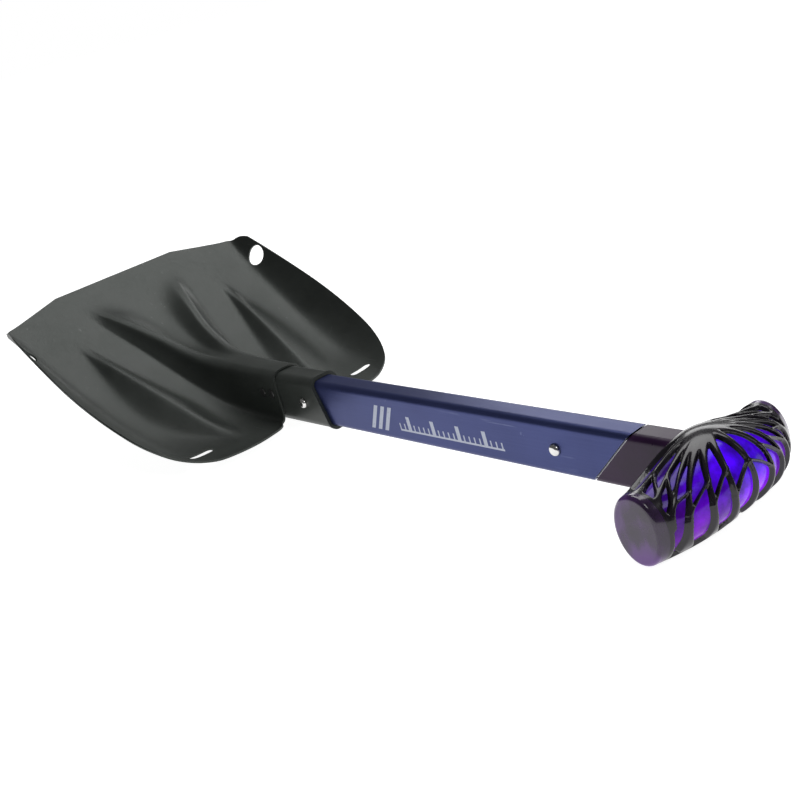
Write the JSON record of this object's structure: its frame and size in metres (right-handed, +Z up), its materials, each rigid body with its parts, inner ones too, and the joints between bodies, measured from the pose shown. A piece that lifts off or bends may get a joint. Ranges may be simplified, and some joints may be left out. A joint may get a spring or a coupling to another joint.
{
  "type": "avalanche shovel",
  "caption": "Compact avalanche shovel: stamped ribbed blade that pulls off its sleeve, telescoping rounded shaft with spring buttons, and a T-grip.",
  "frame": {"origin": "bottom centre of the whole shovel's box, with the shaft collapsed and the blade on", "axes": "+X along the shaft from the blade to the grip, +Y across the blade to the side away from the buttons, +Z up, with the blade's hollow side up"},
  "size_m": [0.664, 0.2556, 0.1187],
  "materials": {
    "blade_anodised": "satin dark anodising with fine brushing",
    "sleeve_anodised": "satin black anodising",
    "rivet_black": "black anodised",
    "tube_blue": "satin blue anodising",
    "plastic_black": "moulded",
    "spring_steel": "rolled strip",
    "button_chrome": "polished",
    "tube_inner": "clear satin anodising",
    "neck_plastic": "glossy moulding",
    "grip_core_violet": "translucent moulding",
    "grip_web_dark": "glossy overmould",
    "grip_cap_plum": "glossy moulding",
    "pin_steel": "ground"
  },
  "bodies": {
    "shaft": {"outer_shaft": "tube_blue", "shaft_guide": "plastic_black", "outer_end_plug": "plastic_black", "blade_lock_spring": "spring_steel"},
    "blade_group": {"blade": "blade_anodised", "blade_sleeve": "sleeve_anodised", "sleeve_rivets": "rivet_black"},
    "grip_group": {"inner_shaft": "tube_inner", "inner_glide": "plastic_black", "stowed_lock_spring": "spring_steel", "extended_lock_spring": "spring_steel", "grip_neck": "neck_plastic", "grip_core": "grip_core_violet", "grip_web": "grip_web_dark", "grip_end_cap_right": "grip_cap_plum", "grip_end_cap_left": "grip_cap_plum", "grip_cross_pin": "pin_steel"},
    "blade_lock": {"blade_lock_button": "button_chrome"},
    "stowed_lock": {"stowed_lock_button": "button_chrome"},
    "extended_lock": {"extended_lock_button": "button_chrome"}
  },
  "joints": [
    {"name": "grip_extension", "type": "slide", "parent": "shaft", "child": "grip_group", "axis": [1, 0, 0], "range_m": [0, 0.18], "deforming": ["stowed_lock_button", "extended_lock_button"]},
    {"name": "blade_pull_off", "type": "slide", "parent": "shaft", "child": "blade_group", "axis": [-1, 0, 0], "range_m": [0, 0.12], "deforming": ["blade_lock_button"]},
    {"name": "blade_lock_press", "type": "slide", "parent": "shaft", "child": "blade_lock", "axis": [0, 1, 0], "range_m": [0, 0.0045], "stiffness_N_per_m": 900, "springref_m": -0.004, "deforming": ["blade_lock_spring"]},
    {"name": "stowed_lock_press", "type": "slide", "parent": "grip_group", "child": "stowed_lock", "axis": [0, 1, 0], "range_m": [0, 0.0045], "stiffness_N_per_m": 900, "springref_m": -0.004, "deforming": ["stowed_lock_spring"]},
    {"name": "extended_lock_release", "type": "slide", "parent": "grip_group", "child": "extended_lock", "axis": [0, -1, 0], "range_m": [0, 0.0045], "deforming": ["extended_lock_spring"]}
  ],
  "couplings": [
    {"joint": "extended_lock_release", "follows": "grip_extension", "ratio": 0.025}
  ]
}
